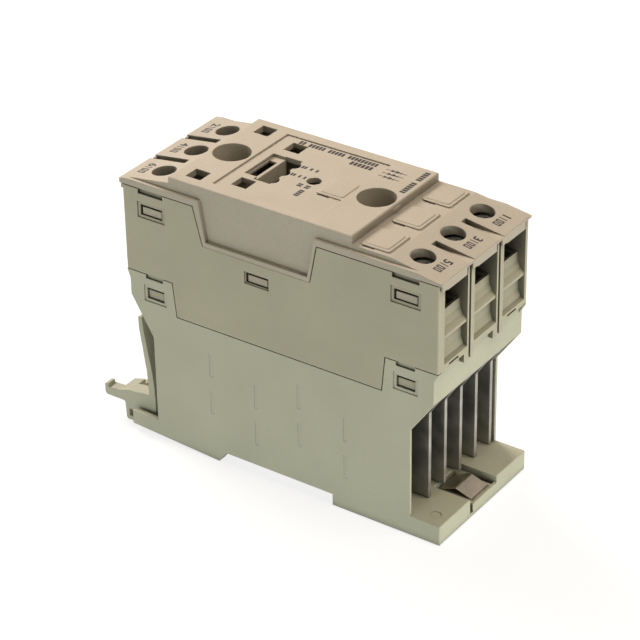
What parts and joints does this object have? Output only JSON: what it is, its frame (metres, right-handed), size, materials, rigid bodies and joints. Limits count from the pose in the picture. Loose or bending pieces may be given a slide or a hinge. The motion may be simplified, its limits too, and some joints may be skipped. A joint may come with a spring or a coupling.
{
  "type": "solid-state contactor",
  "caption": "Slim box-shaped three-pole solid-state contactor for a DIN rail: stepped plastic shells over a finned heat sink, screw clamps at both ends and a sprung rail clip.",
  "frame": {"origin": "middle of the footprint, at the height of the feet (the rail side)", "axes": "+Z away from the rail, +X towards the line terminals along the length, +Y across the poles"},
  "size_m": [0.119, 0.045, 0.0876],
  "materials": {
    "cover_plastic": "fine moulded grain",
    "housing_plastic": "fine moulded grain",
    "base_plastic": "fine moulded grain",
    "clip_plastic": "fine moulded grain",
    "sink_aluminium": "extruded",
    "spring_steel": "bright rolled",
    "screw_steel": "zinc plated",
    "clamp_steel": "zinc plated",
    "bar_copper": "tinned copper",
    "module_case": "moulded",
    "film_grey": "soft film",
    "board_laminate": "solder mask",
    "header_plastic": "moulded",
    "pin_brass": "plated",
    "led_lens": "clear tinted",
    "guide_clear": "clear",
    "varistor_coat": "dipped",
    "coupler_case": "moulded",
    "capacitor_case": "boxed film",
    "print_ink": "pad printed"
  },
  "bodies": {
    "housing": {"base_housing": "base_plastic", "control_header": "header_plastic", "driver_board": "board_laminate", "front_cover": "cover_plastic", "header_pins": "pin_brass", "heat_sink": "sink_aluminium", "light_pipe": "guide_clear", "line_bar_1": "bar_copper", "line_bar_2": "bar_copper", "line_bar_3": "bar_copper", "line_clamp_box_1": "clamp_steel", "line_clamp_box_2": "clamp_steel", "line_clamp_box_3": "clamp_steel", "load_bar_1": "bar_copper", "load_bar_2": "bar_copper", "load_bar_3": "bar_copper", "load_clamp_box_1": "clamp_steel", "load_clamp_box_2": "clamp_steel", "load_clamp_box_3": "clamp_steel", "opto_coupler_1": "coupler_case", "opto_coupler_2": "coupler_case", "opto_coupler_3": "coupler_case", "power_module_1": "module_case", "power_module_2": "module_case", "power_module_3": "module_case", "rail_spring": "spring_steel", "snubber_capacitor": "capacitor_case", "stack_screws": "screw_steel", "status_led": "led_lens", "thermal_films": "film_grey", "upper_housing": "housing_plastic", "varistor_1": "varistor_coat", "varistor_2": "varistor_coat", "varistor_3": "varistor_coat"},
    "rail_clip": {"din_clip": "clip_plastic"},
    "line_plate_1": {"line_pressure_plate_1": "clamp_steel"},
    "line_screw_1": {"line_screw_1": "screw_steel"},
    "line_plate_2": {"line_pressure_plate_2": "clamp_steel"},
    "line_screw_2": {"line_screw_2": "screw_steel"},
    "line_plate_3": {"line_pressure_plate_3": "clamp_steel"},
    "line_screw_3": {"line_screw_3": "screw_steel"},
    "load_plate_1": {"load_pressure_plate_1": "clamp_steel"},
    "load_screw_1": {"load_screw_1": "screw_steel"},
    "load_plate_2": {"load_pressure_plate_2": "clamp_steel"},
    "load_screw_2": {"load_screw_2": "screw_steel"},
    "load_plate_3": {"load_pressure_plate_3": "clamp_steel"},
    "load_screw_3": {"load_screw_3": "screw_steel"}
  },
  "joints": [
    {"name": "rail_clip_slide", "type": "slide", "parent": "housing", "child": "rail_clip", "axis": [-1, 0, 0], "range_m": [0, 0.004], "stiffness_N_per_m": 2500},
    {"name": "line_clamp_1_lift", "type": "slide", "parent": "housing", "child": "line_plate_1", "axis": [0, 0, 1], "range_m": [0, 0.00315]},
    {"name": "line_screw_1_turn", "type": "hinge", "parent": "line_plate_1", "child": "line_screw_1", "pos_m": [0.04845, 0.0147, 0.0798], "axis": [0, 0, 1], "range_deg": [0, 1620]},
    {"name": "line_clamp_2_lift", "type": "slide", "parent": "housing", "child": "line_plate_2", "axis": [0, 0, 1], "range_m": [0, 0.00315]},
    {"name": "line_screw_2_turn", "type": "hinge", "parent": "line_plate_2", "child": "line_screw_2", "pos_m": [0.04845, 0, 0.0798], "axis": [0, 0, 1], "range_deg": [0, 1620]},
    {"name": "line_clamp_3_lift", "type": "slide", "parent": "housing", "child": "line_plate_3", "axis": [0, 0, 1], "range_m": [0, 0.00315]},
    {"name": "line_screw_3_turn", "type": "hinge", "parent": "line_plate_3", "child": "line_screw_3", "pos_m": [0.04845, -0.0147, 0.0798], "axis": [0, 0, 1], "range_deg": [0, 1620]},
    {"name": "load_clamp_1_lift", "type": "slide", "parent": "housing", "child": "load_plate_1", "axis": [0, 0, 1], "range_m": [0, 0.00315]},
    {"name": "load_screw_1_turn", "type": "hinge", "parent": "load_plate_1", "child": "load_screw_1", "pos_m": [-0.03675, 0.0147, 0.0798], "axis": [0, 0, 1], "range_deg": [0, 1620]},
    {"name": "load_clamp_2_lift", "type": "slide", "parent": "housing", "child": "load_plate_2", "axis": [0, 0, 1], "range_m": [0, 0.00315]},
    {"name": "load_screw_2_turn", "type": "hinge", "parent": "load_plate_2", "child": "load_screw_2", "pos_m": [-0.03675, 0, 0.0798], "axis": [0, 0, 1], "range_deg": [0, 1620]},
    {"name": "load_clamp_3_lift", "type": "slide", "parent": "housing", "child": "load_plate_3", "axis": [0, 0, 1], "range_m": [0, 0.00315]},
    {"name": "load_screw_3_turn", "type": "hinge", "parent": "load_plate_3", "child": "load_screw_3", "pos_m": [-0.03675, -0.0147, 0.0798], "axis": [0, 0, 1], "range_deg": [0, 1620]}
  ],
  "couplings": [
    {"joint": "line_screw_1_turn", "follows": "line_clamp_1_lift", "rad_per_m": 8976},
    {"joint": "line_screw_2_turn", "follows": "line_clamp_2_lift", "rad_per_m": 8976},
    {"joint": "line_screw_3_turn", "follows": "line_clamp_3_lift", "rad_per_m": 8976},
    {"joint": "load_screw_1_turn", "follows": "load_clamp_1_lift", "rad_per_m": 8976},
    {"joint": "load_screw_2_turn", "follows": "load_clamp_2_lift", "rad_per_m": 8976},
    {"joint": "load_screw_3_turn", "follows": "load_clamp_3_lift", "rad_per_m": 8976}
  ]
}
